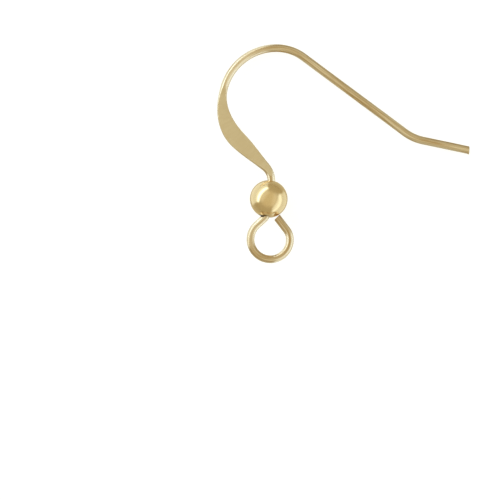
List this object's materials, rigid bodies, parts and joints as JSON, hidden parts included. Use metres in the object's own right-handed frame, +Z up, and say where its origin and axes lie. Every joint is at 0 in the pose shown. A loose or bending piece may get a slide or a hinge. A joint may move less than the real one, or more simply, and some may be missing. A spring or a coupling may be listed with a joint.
{
  "type": "ear wire",
  "caption": "French hook ear wire of round gold wire with a flattened shank, a hollow round bead turning on the wire, and an open loop below for a drop",
  "frame": {"origin": "centre of the ear wire's outline seen from above, on the flat surface that it lies on", "axes": "+Z up from that surface; +X from the bead's side towards the tip of the tail; +Y from the loop towards the crown of the hook"},
  "size_m": [0.0208, 0.018, 0.0031],
  "materials": {
    "hook_wire": "polished drawn wire, gold-filled, with a pressed satin shank",
    "bead_shell": "mirror-polished gold-filled shell"
  },
  "bodies": {
    "wire": {"ear_hook": "hook_wire"},
    "bead": {"ball_bead": "bead_shell"}
  },
  "joints": [
    {"name": "bead_spin", "type": "hinge", "parent": "wire", "child": "bead", "pos_m": [-0.0062, -0.00375, 0.00155], "axis": [0.1539, 0.9832, -0.0983], "continuous": true}
  ]
}
